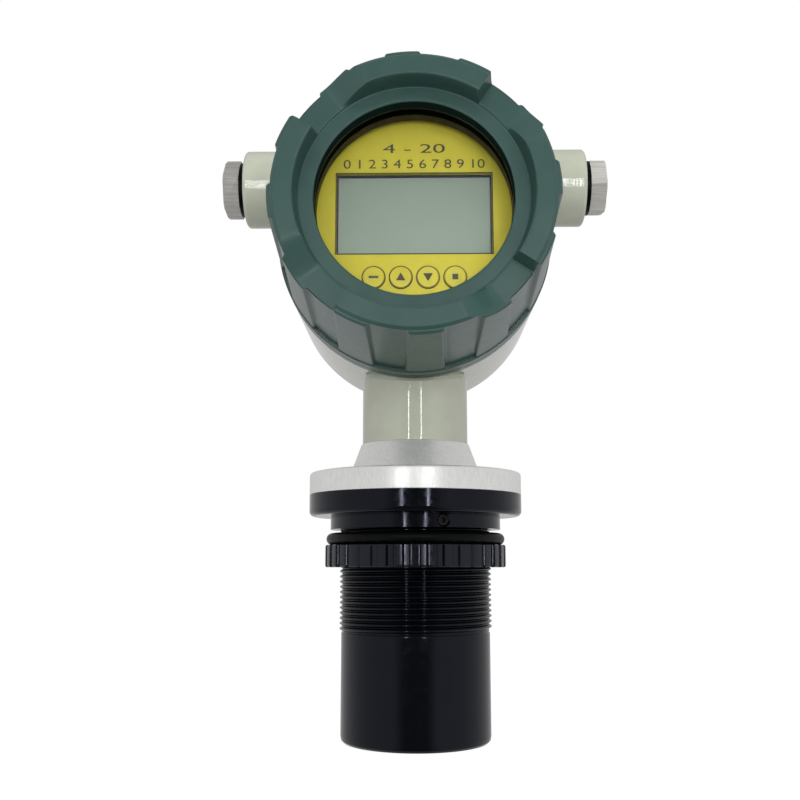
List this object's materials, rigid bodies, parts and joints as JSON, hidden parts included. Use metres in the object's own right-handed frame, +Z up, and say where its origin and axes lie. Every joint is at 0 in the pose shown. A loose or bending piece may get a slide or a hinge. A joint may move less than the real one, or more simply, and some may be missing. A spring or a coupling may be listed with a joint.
{
  "type": "ultrasonic level meter",
  "caption": "Level meter for tanks: round head with a window, display and keys on a neck, over a flanged, threaded ultrasonic probe with a lock nut.",
  "frame": {"origin": "Centre of the sensing face at the bottom of the probe.", "axes": "+Z runs up the probe and neck, the window faces -Y, and the plugs lie along X."},
  "size_m": [0.1586, 0.131, 0.2448],
  "materials": {
    "housing_paint": "satin grey-beige paint on cast aluminium",
    "cover_paint": "satin dark green paint on cast aluminium",
    "window_glass": "clear toughened glass",
    "seal_rubber": "black rubber",
    "clamp_metal": "black anodised ring",
    "dial_film": "yellow printed film",
    "key_film": "yellow embossed film with dark outlines",
    "lcd_glass": "grey-green reflective display",
    "lcd_bezel": "dark frame",
    "circuit_board": "green solder mask",
    "switch_plastic": "black plastic",
    "module_plastic": "black moulded plastic",
    "standoff_brass": "bare brass",
    "screw_steel": "bright steel",
    "terminal_plastic": "green moulded plastic",
    "lead_jacket": "black cable jacket",
    "adapter_metal": "satin turned aluminium",
    "probe_plastic": "black turned plastic",
    "nut_plastic": "black moulded plastic",
    "matching_resin": "cast resin",
    "piezo_ceramic": "silvered ceramic",
    "backing_cork": "damping compound",
    "potting_resin": "cast resin",
    "sensor_steel": "steel sleeve",
    "plug_nickel": "nickel plated brass"
  },
  "bodies": {
    "housing": {"housing_body": "housing_paint", "flange_seal": "seal_rubber", "neck_seal": "seal_rubber", "dial_plate": "dial_film", "lcd_panel": "lcd_glass", "lcd_frame": "lcd_bezel", "display_board": "circuit_board", "main_board": "circuit_board", "key_switches": "switch_plastic", "module_case": "module_plastic", "board_standoffs": "standoff_brass", "module_screws": "screw_steel", "terminal_screws": "screw_steel", "collar_grub_screw": "screw_steel", "terminal_block": "terminal_plastic", "transducer_lead": "lead_jacket", "loop_leads": "lead_jacket", "adapter_flange": "adapter_metal", "probe_shell": "probe_plastic", "probe_collar": "probe_plastic", "matching_layer": "matching_resin", "piezo_disc": "piezo_ceramic", "backing_block": "backing_cork", "potting_fill": "potting_resin", "temperature_sensor": "sensor_steel"},
    "front_cover": {"front_cover": "cover_paint", "window_glass": "window_glass", "window_gasket": "seal_rubber", "window_clamp_ring": "clamp_metal"},
    "cover_seal": {"cover_seal": "seal_rubber"},
    "process_seal": {"process_seal": "seal_rubber"},
    "lock_nut": {"lock_nut": "nut_plastic"},
    "left_plug_seal": {"left_plug_seal": "seal_rubber"},
    "left_plug": {"left_plug": "plug_nickel"},
    "right_plug_seal": {"right_plug_seal": "seal_rubber"},
    "right_plug": {"right_plug": "plug_nickel"},
    "set_key": {"set_key": "key_film"},
    "up_key": {"up_key": "key_film"},
    "down_key": {"down_key": "key_film"},
    "ok_key": {"ok_key": "key_film"}
  },
  "joints": [
    {"name": "cover_travel", "type": "slide", "parent": "housing", "child": "cover_seal", "axis": [0, -1, 0], "range_m": [0, 0.01501]},
    {"name": "cover_turn", "type": "hinge", "parent": "cover_seal", "child": "front_cover", "pos_m": [0, -0.02, 0.19198], "axis": [0, -1, 0], "range_deg": [0, 2700]},
    {"name": "nut_travel", "type": "slide", "parent": "housing", "child": "process_seal", "axis": [0, 0, -1], "range_m": [0, 0.02401]},
    {"name": "nut_turn", "type": "hinge", "parent": "process_seal", "child": "lock_nut", "pos_m": [0, 0, 0.0664], "axis": [0, 0, -1], "range_deg": [0, 4320]},
    {"name": "left_plug_travel", "type": "slide", "parent": "housing", "child": "left_plug_seal", "axis": [-1, 0, 0], "range_m": [0, 0.01051]},
    {"name": "left_plug_turn", "type": "hinge", "parent": "left_plug_seal", "child": "left_plug", "pos_m": [-0.0706, 0, 0.22398], "axis": [-1, 0, 0], "range_deg": [0, 2520]},
    {"name": "right_plug_travel", "type": "slide", "parent": "housing", "child": "right_plug_seal", "axis": [1, 0, 0], "range_m": [0, 0.01051]},
    {"name": "right_plug_turn", "type": "hinge", "parent": "right_plug_seal", "child": "right_plug", "pos_m": [0.0706, 0, 0.22398], "axis": [1, 0, 0], "range_deg": [0, 2520]},
    {"name": "set_key_press", "type": "slide", "parent": "housing", "child": "set_key", "axis": [0, 1, 0], "range_m": [0, 0.0005], "stiffness_N_per_m": 2000},
    {"name": "up_key_press", "type": "slide", "parent": "housing", "child": "up_key", "axis": [0, 1, 0], "range_m": [0, 0.0005], "stiffness_N_per_m": 2000},
    {"name": "down_key_press", "type": "slide", "parent": "housing", "child": "down_key", "axis": [0, 1, 0], "range_m": [0, 0.0005], "stiffness_N_per_m": 2000},
    {"name": "ok_key_press", "type": "slide", "parent": "housing", "child": "ok_key", "axis": [0, 1, 0], "range_m": [0, 0.0005], "stiffness_N_per_m": 2000}
  ],
  "couplings": [
    {"joint": "cover_travel", "follows": "cover_turn", "m_per_rad": 0.00031831},
    {"joint": "nut_travel", "follows": "nut_turn", "m_per_rad": 0.00031831},
    {"joint": "left_plug_travel", "follows": "left_plug_turn", "m_per_rad": 0.00023873},
    {"joint": "right_plug_travel", "follows": "right_plug_turn", "m_per_rad": 0.00023873}
  ]
}
